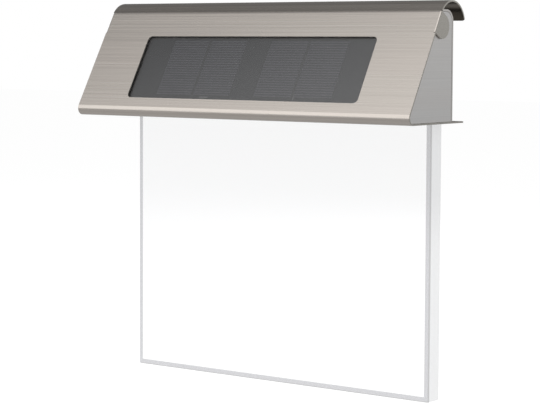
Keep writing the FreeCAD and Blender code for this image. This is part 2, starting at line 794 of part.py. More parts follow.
strip_top = rail_roof - seam
strip_low = strip_top - size("board_thickness")
strip_front = clear_middle - size("strip_width") / 2
strip_back = clear_middle + size("strip_width") / 2
led_wire_y = strip_front + size("wire_radius") + seam
led_wire_x = strip_half * -0.74
led_wire_spots = (led_wire_x, led_wire_x + size("wire_pitch"))
cut(light_rail, "wire_holes", "XY", rail_roof - seam, size("rail_height") + seam,
    circles=[(x, led_wire_y, size("wire_radius") + size("screw_play")) for x in led_wire_spots])
led_board = new_body("led_board")
add(led_board, "strip", "XY", strip_low, strip_top,
    [rectangle(-strip_half, strip_half, strip_front, strip_back)])
leds = new_body("leds")
led_spots = [strip_half * sixths / 6 for sixths in (-5, -3, -1, 1, 3, 5)]
led_reach = (size("led_length") / 2, size("led_width") / 2)
add(leds, "packages", "XY", strip_low - size("led_thickness"), strip_low,
    [rectangle(*about(spot, clear_middle, *led_reach)) for spot in led_spots])

# --- battery bay, opened from the back -------------------------------------------------------------


def trough(radius, back):
    """Side outline of a trough with a round front, about the battery's axis."""
    return [
        (back, bay_z - radius),
        (bay_y, bay_z - radius),
        (bay_y - radius, bay_z, -radius),
        (bay_y, bay_z + radius, -radius),
        (back, bay_z + radius),
    ]


holder_back = cover_front - seam
boss_front = holder_back - size("boss_length")
battery_holder = new_body("battery_holder")
add(battery_holder, "trough", "YZ", bay_middle - bay_end, bay_middle + bay_end,
    [trough(bay_outside, holder_back)])
add(battery_holder, "flange", "XZ", holder_back - size("bay_flange"), holder_back,
    [rounded(*about(bay_middle, bay_z, door_half, door_rise), size("door_corner"))])
add(battery_holder, "bosses", "XZ", boss_front, holder_back,
    circles=[(x, z, screw_boss) for x, z in door_screw_spots])
cut(battery_holder, "bay", "YZ", bay_middle - bay_half, bay_middle + bay_half,
    [trough(bay_inside, cover_back)])
cut(battery_holder, "door_pilots", "XZ", boss_front + size("boss_floor"), holder_back + seam,
    circles=[(x, z, screw_pilot) for x, z in door_screw_spots])
tail_z = bay_z + size("tail_rise")
tail_play = size("bay_play")
tail_slot = about(bay_y, tail_z, size("tail_half") + tail_play, size("contact_sheet") / 2 + tail_play)
cut(battery_holder, "tail_slot_plus", "YZ", bay_middle, bay_middle + bay_end + seam, [rectangle(*tail_slot)])
cut(battery_holder, "tail_slot_minus", "YZ", bay_middle - bay_end - seam, bay_middle, [rectangle(*tail_slot)])

cell_half = size("cell_length") / 2
nub_seat = bay_middle + cell_half - size("nub_length")
battery_cell = new_body("battery_cell")
add(battery_cell, "can", "YZ", bay_middle - cell_half, nub_seat,
    circles=[(bay_y, bay_z, size("cell_radius"))])
round_edges(battery_cell, "can_rims", size("cell_rim"), is_round)
add(battery_cell, "nub", "YZ", nub_seat - seam, bay_middle + cell_half,
    circles=[(bay_y, bay_z, size("nub_radius"))])

contact_half = size("contact_half")
contact_sheet = size("contact_sheet")
contact_square = [rectangle(*about(bay_y, bay_z, contact_half, contact_half))]
tail_sheet = (tail_z - contact_sheet / 2, tail_z + contact_sheet / 2)
tail_sides = (bay_y - size("tail_half"), bay_y + size("tail_half"))
tail_reach = bay_end + size("tail_length")

plus_face = bay_middle + bay_half - seam - contact_sheet
contact_plus = new_body("contact_plus")
add(contact_plus, "plus_plate", "YZ", plus_face, plus_face + contact_sheet, contact_square)
add(contact_plus, "dimple", "YZ", bay_middle + cell_half + seam, plus_face + seam,
    circles=[(bay_y, bay_z, size("nub_radius"))])
add(contact_plus, "plus_tail", "XY", *tail_sheet,
    [rectangle(plus_face, bay_middle + tail_reach, *tail_sides)])

minus_face = bay_middle - bay_half + seam + contact_sheet
minus_touch = bay_middle - cell_half - seam
bow_top = bay_z + contact_half * 0.8
bow_thickness = contact_sheet * 1.4
contact_spring = new_body("contact_spring")
add(contact_spring, "minus_plate", "YZ", minus_face - contact_sheet, minus_face, contact_square)
add(contact_spring, "bow", "XZ", bay_y - contact_half / 2, bay_y + contact_half / 2, [[
    (minus_face, bay_z - contact_half),
    (minus_touch, bay_z),
    (minus_face + seam + contact_sheet, bow_top),
    (minus_face + seam, bow_top),
    (minus_touch - bow_thickness, bay_z),
    (minus_face - contact_sheet, bay_z - contact_half + bow_thickness),
    (minus_face - contact_sheet, bay_z - contact_half),
]])
add(contact_spring, "minus_tail", "XY", *tail_sheet,
    [rectangle(bay_middle - tail_reach, minus_face, *tail_sides)])

door_front = cover_back + size("seal_thickness")
door_back = door_front + size("door_thickness")
door_play = size("slide_play")
battery_door = new_body("battery_door")
add(battery_door, "lid", "XZ", door_front, door_back,
    [rounded(*about(bay_middle, bay_z, door_half, door_rise), size("door_corner"))])


def is_lid_rim(edge):
    """True for the straight edges of the lid's outer face; the rounding runs on through the corners."""
    return near(edge.CenterOfMass.y, door_back) and edge.Curve.TypeId == "Part::GeomLine"


round_edges(battery_door, "lid_rim", size("door_rim"), is_lid_rim)
add(battery_door, "plug", "XZ", bay_y + size("cell_radius") + door_play, door_front + seam,
    [rounded(*about(bay_middle, bay_z, bay_half - door_play, bay_inside - door_play), size("bay_corner"))])
cut(battery_door, "door_holes", "XZ", door_front - seam, door_back + seam,
    circles=[(x, z, screw_hole) for x, z in door_screw_spots])
door_seal = new_body("door_seal")
add(door_seal, "ring", "XZ", cover_back + seam / 2, door_front - seam / 2, [
    rounded(*about(bay_middle, bay_z, bay_half + size("seal_width"), door_rise - seam), size("door_corner")),
    rounded(*about(bay_middle, bay_z, bay_half, bay_inside), size("bay_corner"))])

# --- control board ---------------------------------------------------------------------------------

control_half = size("control_length") / 2
control_rise = size("control_width") / 2
control_x = half_width * size("control_share")
control_z = size("rail_height") + size("control_lift") + control_rise
control_back = cover_front - size("control_standoff")
control_front = control_back - size("board_thickness")
post_inset = size("screw_head_radius") + size("post_margin")
post_spots = []
for across in (-1, 1):
    for up in (-1, 1):
        post_spots.append((control_x + (control_half - post_inset) * across,
                           control_z + (control_rise - post_inset) * up))
control_board = new_body("control_board")
add(control_board, "laminate", "XZ", control_front, control_back,
    [rounded(*about(control_x, control_z, control_half, control_rise), size("module_corner"))])
cut(control_board, "board_holes", "XZ", control_front - seam, control_back + seam,
    circles=[(x, z, screw_hole) for x, z in post_spots])
board_posts = new_body("board_posts")
add(board_posts, "posts", "XZ", control_back + seam / 2, cover_front - seam / 2,
    circles=[(x, z, size("screw_radius") + size("boss_wall") / 2) for x, z in post_spots])
cut(board_posts, "post_pilots", "XZ", control_back - seam, cover_front - size("boss_floor"),
    circles=[(x, z, screw_pilot) for x, z in post_spots])

part_seat = control_front - seam / 2
chip_x = control_x + size("chip_across")
chip_rise = size("chip_width") / 2
leg_outlines = []
for step in (-1.5, -0.5, 0.5, 1.5):
    for side in (-1, 1):
        low, high = span(side, chip_rise - seam, chip_rise + size("leg_reach"))
        leg_x = chip_x + size("leg_pitch") * step
        leg_outlines.append(rectangle(leg_x - size("leg_width") / 2, leg_x + size("leg_width") / 2,
                                      control_z + low, control_z + high))
board_chip = new_body("board_chip")
add(board_chip, "package", "XZ", part_seat - size("chip_height"), part_seat,
    [rectangle(*about(chip_x, control_z, size("chip_length") / 2, chip_rise))])
add(board_chip, "legs", "XZ", part_seat - size("chip_height") / 2, part_seat, leg_outlines)
for label, kind in (("board_coil", "coil"), ("board_capacitor", "capacitor")):
    can_x = control_x + size(f"{kind}_across")
    can_z = control_z + size(f"{kind}_up")
    can = new_body(label)
    add(can, f"{kind}_can", "XZ", part_seat - size(f"{kind}_height"), part_seat,
        circles=[(can_x, can_z, size(f"{kind}_radius"))])
board_resistors = new_body("board_resistors")
resistor_z = control_z - size("resistor_drop")
resistor_spots = [chip_x + size("resistor_pitch") * step for step in (-1.5, -0.5, 0.5, 1.5)]
add(board_resistors, "chips", "XZ", part_seat - size("resistor_height"), part_seat, [
    rectangle(*about(x, resistor_z, size("resistor_length") / 2, size("resistor_width") / 2))
    for x in resistor_spots])

# --- slide switch: its knob rests at the off end of the slot ------------------------------------------

slide_play = size("slide_play")
half_travel = size("switch_travel") / 2
frame_back = cover_front - seam
frame_front = frame_back - size("frame_sheet")
knob_half = size("knob_length") / 2
knob_rise = size("knob_width") / 2
base_half = knob_half + size("knob_shoulder")
base_rise = knob_rise + size("knob_shoulder")
cavity_reach = base_half + half_travel + slide_play
cavity_rise = base_rise + slide_play
block_half = cavity_reach + size("bay_wall")
block_rise = cavity_rise + size("bay_wall")
base_back = frame_front - slide_play
base_front = base_back - size("knob_base")
cavity_end = base_front - slide_play
block_front = cavity_end - size("bay_wall")

switch_frame = new_body("switch_frame")
frame_half = switch_screw_x + size("screw_radius") + size("door_margin")
add(switch_frame, "frame", "XZ", frame_front, frame_back,
    [rounded(*about(switch_x, switch_z, frame_half, block_rise), size("switch_corner"))])
frame_slot = about(switch_x, switch_z, knob_half + half_travel + slide_play, knob_rise + slide_play)
cut(switch_frame, "frame_slot", "XZ", frame_front - seam, frame_back + seam, [rectangle(*frame_slot)])
cut(switch_frame, "frame_pilots", "XZ", frame_front - seam, frame_back + seam,
    circles=[(x, z, screw_pilot) for x, z in switch_screw_spots])
switch_body = new_body("switch_body")
add(switch_body, "block", "XZ", block_front, frame_front - seam / 2,
    [rectangle(*about(switch_x, switch_z, block_half, block_rise))])
cut(switch_body, "slider_cavity", "XZ", cavity_end, frame_front + seam,
    [rectangle(*about(switch_x, switch_z, cavity_reach, cavity_rise))])
pin_half = size("pin_width") / 2
pin_spots = [switch_x + size("pin_spacing") * step for step in (-1, 0, 1)]
pin_seat = block_front - seam / 2
pin_tip = pin_seat - size("pin_length")
switch_pins = new_body("switch_pins")
add(switch_pins, "pins", "XZ", pin_tip, pin_seat,
    [rectangle(*about(spot, switch_z, pin_half, pin_half)) for spot in pin_spots])

knob_x = switch_x - half_travel
knob_tip = cover_back + size("knob_out")
switch_knob = new_body("switch_knob")
add(switch_knob, "slider", "XZ", base_front, base_back,
    [rectangle(*about(knob_x, switch_z, base_half, base_rise))])
add(switch_knob, "stem", "XZ", base_back - seam, knob_tip,
    [rectangle(*about(knob_x, switch_z, knob_half, knob_rise))])
groove_spots = [knob_x + knob_half * share for share in (-0.5, 0.0, 0.5)]
groove_half = size("groove_width") / 2
cut(switch_knob, "grip_grooves", "XZ", knob_tip - size("groove_depth"), knob_tip + seam,
    [rectangle(*about(spot, switch_z, groove_half, size("knob_width"))) for spot in groove_spots])

# --- screws: a round head on its seat, with a cross recess, and a plain shank in a pilot hole ---------


def cross(x, y, reach, half):
    """Outline of a cross recess."""
    return [
        (x + half, y - reach), (x + half, y - half), (x + reach, y - half), (x + reach, y + half),
        (x + half, y + half), (x + half, y + reach), (x - half, y + reach), (x - half, y + half),
        (x - reach, y + half), (x - reach, y - half), (x - half, y - half), (x - half, y - reach),
    ]


def screws(label, plane, spots, seat, tip, kind="screw"):
    """A group of screws whose heads sit at seat and whose shanks reach tip, both along the plane's axis."""
    group = new_body(label)
    outward = 1 if tip < seat else -1
    head_height = size(f"{kind}_head_height")
    head_radius = size(f"{kind}_head_radius")
    top = seat + head_height * outward
    recess_floor = seat + head_height * 0.4 * outward
    head_low, head_high = sorted((seat, top))
    shank_low, shank_high = sorted((tip, seat + seam * outward))
    recess_low, recess_high = sorted((recess_floor, top + seam * outward))
    recesses = [cross(x, y, head_radius * 0.55, size("cross_half")) for x, y in spots]
    add(group, f"{label}_heads", plane, head_low, head_high, circles=[(x, y, head_radius) for x, y in spots])

    def is_head_rim(edge):
        middle = edge.CenterOfMass
        return near(middle.z if plane == "XY" else middle.y, top)

    round_edges(group, f"{label}_rims", head_height * 0.4, is_head_rim)
    add(group, f"{label}_shanks", plane, shank_low, shank_high,
        circles=[(x, y, size(f"{kind}_radius")) for x, y in spots])
    cut(group, f"{label}_crosses", plane, recess_low, recess_high, recesses)


tip_room = size("boss_floor") * 1.5
screws("cover_screws", "XZ", cover_screw_spots, cover_back, plate_back - size("plate_sheet") * 2.5)
screws("door_screws", "XZ", door_screw_spots, door_back, boss_front + tip_room)
screws("switch_screws", "XZ", switch_screw_spots, cover_back, frame_front - size("frame_sheet") * 2)
screws("rail_screws", "XY", rail_screw_spots, as_size(0.0), size("clear_grip") - tip_room)
screws("clamp_screws", "XZ", clamp_spots, clamp_seat, clamp_boss_front + tip_room, kind="clamp")
screws("board_screws", "XZ", post_spots, control_front, cover_front - tip_room)

# --- wires: straight runs joined by tangent arcs -----------------------------------------------------


def corner_arc(before, corner, after):
    """Start, middle and end of the arc that rounds a corner between two runs."""
    back = (before - corner).normalize()
    ahead = (after - corner).normalize()
    slant = math.tan(back.getAngle(ahead) / 2)
    shorter = min((before - corner).Length, (after - corner).Length)
    reach = min(SIZES["wire_bend"] / slant, 0.45 * shorter)
    radius = reach * slant
    bisector = (back + ahead).normalize()
    centre = corner + bisector * math.hypot(radius, reach)
    return corner + back * reach, centre - bisector * radius, corner + ahead * reach


def wire(points):
    """A round wire along the points, its corners rounded."""
    stops = [FreeCAD.Vector(*(as_size(part).value for part in point)) for point in points]
    edges = []
    start = stops[0]
    for before, corner, after in zip(stops, stops[1:], stops[2:]):
        arc_start, arc_middle, arc_end = corner_arc(before, corner, after)
        edges.append(Part.LineSegment(start, arc_start).toShape())
        edges.append(Part.Arc(arc_start, arc_middle, arc_end).toShape())
        start = arc_end
    edges.append(Part.LineSegment(start, stops[-1]).toShape())
    path = Part.Wire(edges)
    rim = Part.Wire(Part.makeCircle(SIZES["wire_radius"], stops[0], stops[1] - stops[0]))
    solid = path.makePipeShell([rim], True, False)
    whole = math.pi * SIZES["wire_radius"] ** 2 * path.Length
    if abs(solid.Volume - whole) > 0.01 * whole:
        raise ValueError("a wire isn't its section swept along its whole length")
    return solid


def wires(label, routes):
    group = doc.addObject("Part::Feature", label)
    group.Label = label
    group.Shape = Part.makeCompound([wire(route) for route in routes])
    place(group)


control_face = control_front - seam / 2
control_rear = control_back + seam / 2
lane_y = control_face - size("wire_lane")
solder_z = control_z - control_rise * 0.75


def on_board(share):
    """X of a place on the control board, as a share of its half length."""
    return control_x + control_half * share


lower_lane = size("rail_height") + size("wire_room") + size("wire_radius")
upper_lane = lower_lane + size("wire_room") + size("wire_radius")
led_solder_z = control_z - control_rise * 0.45
led_routes = []
for spot, lane_z, share in ((led_wire_spots[1], lower_lane, -0.43), (led_wire_spots[0], upper_lane, -0.58)):
    led_routes.append([
        (spot, led_wire_y, strip_top + seam / 2),
        (spot, led_wire_y, lane_z),
        (on_board(share), led_wire_y, lane_z),
        (on_board(share), led_wire_y, led_solder_z),
        (on_board(share), control_rear, led_solder_z),
    ])
wires("led_wires", led_routes)

near_lane = pin_tip - size("wire_bend") - size("wire_radius")
far_lane = near_lane - size("wire_room") - size("wire_radius")
switch_routes = []
for spot, lane, share in ((pin_spots[1], far_lane, -0.73), (pin_spots[2], near_lane, -0.87)):
    switch_routes.append([
        (spot, pin_tip - seam / 2, switch_z),
        (spot, lane, switch_z),
        (on_board(share), lane, switch_z),
        (on_board(share), control_face, switch_z),
    ])
wires("switch_wires", switch_routes)

plus_tip = bay_middle + tail_reach + seam / 2
plus_turn = plus_tip + size("wire_lead")
minus_tip = bay_middle - tail_reach - seam / 2
minus_turn = minus_tip - size("wire_lead")
under_bay = bay_z - bay_outside - size("wire_room")
wires("battery_wires", [[
    (plus_tip, bay_y, tail_z),
    (plus_turn, bay_y, tail_z),
    (plus_turn, lane_y, under_bay),
    (on_board(0.55), lane_y, under_bay),
    (on_board(0.55), lane_y, solder_z),
    (on_board(0.55), control_face, solder_z),
], [
    (minus_tip, bay_y, tail_z),
    (minus_turn, bay_y, tail_z),
    (minus_turn - size("wire_lead"), lane_y, tail_z),
    (on_board(0.7), lane_y, tail_z),
    (on_board(0.7), control_face, tail_z),
]])

panel_spot = size("window_low") + size("gasket_overlap")
start_y, start_z = on_slope(panel_spot, seam / 2 - backboard_low)
turn_y, turn_z = on_slope(panel_spot, size("wire_lead") - backboard_low)
panel_routes = []
for share in (0.2, 0.35):
    panel_routes.append([
        (on_board(share), start_y, start_z),
        (on_board(share), turn_y, turn_z),
        (on_board(share), lane_y, solder_z),
        (on_board(share), control_face, solder_z),
    ])
wires("panel_wires", panel_routes)

# --- check every object and write the pieces ---------------------------------------------------------

doc.recompute()
faults = [thing.Name for thing in doc.Objects if "Invalid" in thing.State or "Error" in thing.State]
if faults:
    raise RuntimeError(f"failed objects: {faults}")
pieces = [thing for thing in doc.Objects if thing.TypeId in ("PartDesign::Body", "Part::Feature")]
for piece in pieces:
    if piece.Shape.isNull() or not piece.Shape.isValid() or not piece.Shape.Solids:
        raise RuntimeError(f"bad shape: {piece.Label}")
os.makedirs("parts", exist_ok=True)
for piece in pieces:
    piece.Shape.exportStep(f"parts/{piece.Label}.step")
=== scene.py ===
import math

import bmesh
import bpy
from mathutils import Matrix, Vector


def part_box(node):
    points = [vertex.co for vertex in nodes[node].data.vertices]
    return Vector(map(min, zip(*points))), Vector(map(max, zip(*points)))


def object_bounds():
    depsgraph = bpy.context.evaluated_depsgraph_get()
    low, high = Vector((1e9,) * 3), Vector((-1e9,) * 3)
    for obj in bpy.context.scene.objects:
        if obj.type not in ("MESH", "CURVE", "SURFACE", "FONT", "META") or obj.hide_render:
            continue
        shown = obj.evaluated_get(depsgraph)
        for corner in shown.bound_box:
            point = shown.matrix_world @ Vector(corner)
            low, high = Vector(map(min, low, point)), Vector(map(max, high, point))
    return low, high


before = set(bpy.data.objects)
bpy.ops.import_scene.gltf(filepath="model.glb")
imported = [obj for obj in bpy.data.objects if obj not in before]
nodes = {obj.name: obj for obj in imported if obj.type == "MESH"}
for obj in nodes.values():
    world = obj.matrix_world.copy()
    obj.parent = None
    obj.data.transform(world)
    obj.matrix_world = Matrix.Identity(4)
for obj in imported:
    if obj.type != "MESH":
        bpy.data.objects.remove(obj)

cad_low, cad_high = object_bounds()

# Camera: level with the fence rod, about 0.9 m away and round to the right of the front, looking down a
# little. The view is shifted down slightly, which keeps the picture's upright lines nearly parallel.
yaw = math.radians(36.06)
pitch = math.radians(-3.80)
roll = math.radians(0.27)
focal_length_mm = 120.87
sensor_mm = 36.0
view_shift_down = 0.0694
camera_place = Vector((0.5434, -0.7593, -0.0133))

ahead = Vector((-math.sin(yaw) * math.cos(pitch), math.cos(yaw) * math.cos(pitch), math.sin(pitch)))
level_right = Vector((math.cos(yaw), math.sin(yaw), 0))
level_up = level_right.cross(ahead)
camera_right = level_right * math.cos(roll) + level_up * math.sin(roll)
camera_up = level_up * math.cos(roll) - level_right * math.sin(roll)

camera_data = bpy.data.cameras.new("camera")
camera_data.lens = focal_length_mm
camera_data.sensor_width = sensor_mm
camera_data.sensor_fit = "HORIZONTAL"
camera_data.shift_y = -view_shift_down
camera_data.dof.use_dof = False
camera = bpy.data.objects.new("camera", camera_data)
facing = Matrix((camera_right, camera_up, -ahead)).transposed().to_4x4()
camera.matrix_world = Matrix.Translation(camera_place) @ facing
bpy.context.scene.collection.objects.link(camera)
bpy.context.scene.camera = camera
bpy.context.scene.view_settings.view_transform = "Standard"

# Studio: a white background over a pale floor, a broad soft light from the front left and weaker ones from
# the right and the back. Metal and glass reflect a room with a bright front, a dimmer top and a grey back.
background_level = 1.0
room_light = 0.62
room_levels = (
    # name, where the light comes from, cosine at its edge and where it is full, brightness
    ("front_wall", (0.0, -1.0, 0.0), 0.32, 0.49, 1.10),
    ("right_back", (0.55, 0.80, 0.12), 0.45, 1.00, 0.64),
    ("overhead", (0.35, 0.10, 0.93), 0.50, 1.00, 0.37),
)
room_base = 0.18
floor_drop = 0.060
floor_half_side = 6.0
floor_paint_level = 0.86
floor_paint_shown = 0.30
floor_glow_shown = 0.80
floor_glow_mirrored = 0.50


def new_node(tree, kind, place, **settings):
    """A node of this kind at a place in the tree's layout, with its settings made."""
    node = tree.nodes.new(kind)
    node.location = place
    for name, value in settings.items():
        setattr(node, name, value)
    return node


def arithmetic(tree, operation, place, first, second=0.0):
    """A Math node; each of its two inputs is a number or another node's output."""
    node = new_node(tree, "ShaderNodeMath", place, operation=operation)
    for socket, value in zip(node.inputs, (first, second)):
        if isinstance(value, bpy.types.NodeSocket):
            tree.links.new(value, socket)
        else:
            socket.default_value = value
    return node.outputs[0]


def looked_at(tree, path, place):
    """1 for rays from the camera, also those that went through glass, and 0 for all others."""
    return arithmetic(tree, "MAXIMUM", place, path.outputs["Is Camera Ray"],
                      path.outputs["Is Transmission Ray"])


world = bpy.data.worlds.new("white_room")
bpy.context.scene.world = world
world.use_nodes = True
room = world.node_tree
room.nodes.clear()
direction = new_node(room, "ShaderNodeTexCoord", (-1400, 0)).outputs["Generated"]
reflected_level = room_base
for row, (light_name, centre, edge, full, level) in enumerate(room_levels):
    facing_it = new_node(room, "ShaderNodeVectorMath", (-1200, -200 * row), operation="DOT_PRODUCT",
                         label=light_name)
    room.links.new(direction, facing_it.inputs[0])
    facing_it.inputs[1].default_value = Vector(centre).normalized()
    lobe = new_node(room, "ShaderNodeMapRange", (-1000, -200 * row), interpolation_type="SMOOTHSTEP")
    room.links.new(facing_it.outputs["Value"], lobe.inputs["Value"])
    lobe.inputs["From Min"].default_value = edge
    lobe.inputs["From Max"].default_value = full
    lobe.inputs["To Max"].default_value = level
    reflected_level = arithmetic(room, "ADD", (-800, -200 * row), reflected_level, lobe.outputs["Result"])
path = new_node(room, "ShaderNodeLightPath", (-1400, 500))
mirror_level = new_node(room, "ShaderNodeMix", (-500, 100), data_type="FLOAT")
room.links.new(path.outputs["Is Glossy Ray"], mirror_level.inputs["Factor"])
mirror_level.inputs["A"].default_value = room_light
room.links.new(reflected_level, mirror_level.inputs["B"])
seen_level = new_node(room, "ShaderNodeMix", (-300, 100), data_type="FLOAT")
room.links.new(looked_at(room, path, (-1200, 500)), seen_level.inputs["Factor"])
room.links.new(mirror_level.outputs["Result"], seen_level.inputs["A"])
seen_level.inputs["B"].default_value = background_level
surround = new_node(room, "ShaderNodeBackground", (-100, 100))
room.links.new(seen_level.outputs["Result"], surround.inputs["Strength"])
surround.inputs["Color"].default_value = (1.0, 1.0, 1.0, 1.0)
room_output = new_node(room, "ShaderNodeOutputWorld", (100, 100))
room.links.new(surround.outputs["Background"], room_output.inputs["Surface"])

soft_lights = (
    # name, place, side of the square, power in watts
    ("front_left_light", (-0.75, -0.95, 0.75), 0.9, 11.0),
    ("right_light", (1.1, 0.15, 0.55), 0.8, 5.0),
    ("back_light", (-0.2, 1.2, 0.7), 0.8, 6.0),
)
light_target = Vector((0.0, 0.0, -0.08))
for light_name, place, side, power in soft_lights:
    light_data = bpy.data.lights.new(light_name, "AREA")
    light_data.shape = "SQUARE"
    light_data.size = side
    light_data.energy = power
    light = bpy.data.objects.new(light_name, light_data)
    light.location = place
    light.rotation_euler = (light_target - Vector(place)).to_track_quat("-Z", "Y").to_euler()
    light.visible_glossy = False
    bpy.context.scene.collection.objects.link(light)

floor_mesh = bpy.data.meshes.new("floor")
floor_shape = bmesh.new()
bmesh.ops.create_grid(floor_shape, x_segments=1, y_segments=1, size=floor_half_side)
bmesh.ops.translate(floor_shape, verts=floor_shape.verts, vec=(0, 0, cad_low[2] - floor_drop))
floor_shape.to_mesh(floor_mesh)
floor_shape.free()
floor = bpy.data.objects.new("floor", floor_mesh)
bpy.context.scene.collection.objects.link(floor)
floor_material = bpy.data.materials.new("pale_floor")
floor_material.use_nodes = True
tree = floor_material.node_tree
tree.nodes.clear()
floor_paint = new_node(tree, "ShaderNodeBsdfDiffuse", (-300, 0))
path = new_node(tree, "ShaderNodeLightPath", (-900, 300))
shown = looked_at(tree, path, (-700, 300))
held_back = arithmetic(tree, "MULTIPLY", (-700, 0), shown, floor_paint_level - floor_paint_shown)
tree.links.new(arithmetic(tree, "SUBTRACT", (-500, 0), floor_paint_level, held_back),
               floor_paint.inputs["Color"])
camera_glow = arithmetic(tree, "MULTIPLY", (-500, 300), shown, floor_glow_shown)
floor_glow = new_node(tree, "ShaderNodeEmission", (-300, 300))
tree.links.new(camera_glow, floor_glow.inputs["Strength"])
floor_mix = new_node(tree, "ShaderNodeAddShader", (-100, 100))
tree.links.new(floor_glow.outputs["Emission"], floor_mix.inputs[0])
tree.links.new(floor_paint.outputs["BSDF"], floor_mix.inputs[1])
floor_mirrored = new_node(tree, "ShaderNodeEmission", (-100, -100))
floor_mirrored.inputs["Strength"].default_value = floor_glow_mirrored
floor_seen = new_node(tree, "ShaderNodeMixShader", (100, 100))
tree.links.new(path.outputs["Is Glossy Ray"], floor_seen.inputs["Fac"])
tree.links.new(floor_mix.outputs["Shader"], floor_seen.inputs[1])
tree.links.new(floor_mirrored.outputs["Emission"], floor_seen.inputs[2])
tree.links.new(floor_seen.outputs["Shader"],
               new_node(tree, "ShaderNodeOutputMaterial", (300, 100)).inputs["Surface"])
floor_mesh.materials.append(floor_material)

# Hood: one sheet of stainless steel, brushed along its length, pressed over into the slope, the round
# curl and the flat underside. Its window is punched, and a tab at each end is folded over the end plate.
steel_colour = (0.615, 0.570, 0.524, 1.0)
warm_steel_colour = (0.66, 0.585, 0.545, 1.0)
# Darker for every face that looks along X: the cut edges, and painted shade on the folded end tabs.
cut_and_shade_colour = (0.375, 0.36, 0.33, 1.0)
# Near black inside the curl: painted shade over the sheet's dull unbrushed side.
curl_shade_colour = (0.15, 0.135, 0.115, 1.0)
warm_share = 0.35
steel_streaks = 0.06
grain_pitch = 1250.0  # scratches to a metre across the brushing
grain_length = 3.5  # and along it
fine_scratches = 3.4
broad_scratches = 0.75
clouds = 0.06
noise_low, noise_high = 0.3, 0.7
steel_relief = 0.00002
curl_axis = (0.0, -0.0062679, -0.003744)
curl_wall_middle = 0.0117
half_step = 0.0001


def new_group(name, inputs, outputs):
    """A shader node group with these sockets: (name, socket type, default value or None)."""
    group = bpy.data.node_groups.new(name, "ShaderNodeTree")
    for socket_name, kind, value in inputs:
        socket = group.interface.new_socket(socket_name, in_out="INPUT", socket_type=kind)
        if value is not None:
            socket.default_value = value
    for socket_name, kind in outputs:
        group.interface.new_socket(socket_name, in_out="OUTPUT", socket_type=kind)
    return group, new_node(group, "NodeGroupInput", (-1400, 0)), new_node(group, "NodeGroupOutput", (600, 0))


def noise(tree, vector, place, scale, detail=2.0, roughness=0.5):
    node = new_node(tree, "ShaderNodeTexNoise", place)
    tree.links.new(vector, node.inputs["Vector"])
    node.inputs["Scale"].default_value = scale
    node.inputs["Detail"].default_value = detail
    node.inputs["Roughness"].default_value = roughness
    return node.outputs["Fac"]


def ranged(tree, value, place, low, high, to_low, to_high):
    """The value carried from low..high to to_low..to_high."""
    node = new_node(tree, "ShaderNodeMapRange", place)
    tree.links.new(value, node.inputs["Value"])
    for name, amount in (("From Min", low), ("From Max", high), ("To Min", to_low), ("To Max", to_high)):
        if isinstance(amount, bpy.types.NodeSocket):
            tree.links.new(amount, node.inputs[name])
        else:
            node.inputs[name].default_value = amount
    return node.outputs["Result"]


def blended(tree, factor, place, first, second, blend_type="MIX"):
    """A colour mix; each colour is a value or another node's output."""
    node = new_node(tree, "ShaderNodeMix", place, data_type="RGBA", blend_type=blend_type)
    colours = [socket for socket in node.inputs if socket.type == "RGBA"]
    weight = node.inputs[0]
    for socket, value in ((weight, factor), (colours[0], first), (colours[1], second)):
        if isinstance(value, bpy.types.NodeSocket):
            tree.links.new(value, socket)
        else:
            socket.default_value = value
    return [socket for socket in node.outputs if socket.type == "RGBA"][0]


def brushed_grain_group():
    """Fine scratches that follow one axis, which the vector carries stretched: colour, roughness, height."""
    group, given, put = new_group(
        "brushed_grain",
        [("Vector", "NodeSocketVector", None), ("Colour", "NodeSocketColor", steel_colour),
         ("Streaks", "NodeSocketFloat", steel_streaks), ("Roughness", "NodeSocketFloat", 0.3)],
        [("Colour", "NodeSocketColor"), ("Roughness", "NodeSocketFloat"), ("Height", "NodeSocketFloat")])
    vector = given.outputs["Vector"]
    fine = noise(group, vector, (-1100, 300), fine_scratches, 1.0)
    broad = noise(group, vector, (-1100, 50), broad_scratches, 2.0, 0.6)
    cloudy = noise(group, vector, (-1100, -200), clouds)
    low = arithmetic(group, "SUBTRACT", (-1100, -400), 1.0, given.outputs["Streaks"])
    high = arithmetic(group, "ADD", (-1100, -550), 1.0, given.outputs["Streaks"])
    fine_shade = ranged(group, fine, (-850, 300), noise_low, noise_high, low, high)
    broad_shade = ranged(group, broad, (-850, 50), noise_low, noise_high, low, high)
    shade = arithmetic(group, "MULTIPLY", (-600, 200), fine_shade, broad_shade)
    shade_colour = new_node(group, "ShaderNodeCombineColor", (-400, 200))
    for socket in shade_colour.inputs:
        group.links.new(shade, socket)
    shaded = blended(group, 1.0, (-200, 200), given.outputs["Colour"], shade_colour.outputs[0], "MULTIPLY")
    warm = ranged(group, cloudy, (-600, -200), 0.35, 0.65, 0.0, 0.5)
    tinted = blended(group, warm, (0, 200), shaded, warm_steel_colour)
    softened = blended(group, warm_share, (200, 200), shaded, tinted)
    group.links.new(softened, put.inputs["Colour"])
    rough_shift = ranged(group, broad, (-600, -400), noise_low, noise_high, -0.05, 0.05)
    group.links.new(arithmetic(group, "ADD", (-200, -300), given.outputs["Roughness"], rough_shift),
                    put.inputs["Roughness"])
    group.links.new(arithmetic(group, "ADD", (-200, -100), fine, broad), put.inputs["Height"])
    return group


brushed_grain = brushed_grain_group()


def new_material(name):
    material = bpy.data.materials.new(name)
    material.use_nodes = True
    tree = material.node_tree
    tree.nodes.clear()
    shader = new_node(tree, "ShaderNodeBsdfPrincipled", (300, 0))
    output = new_node(tree, "ShaderNodeOutputMaterial", (600, 0))
    tree.links.new(shader.outputs["BSDF"], output.inputs["Surface"])
    return material, tree, shader


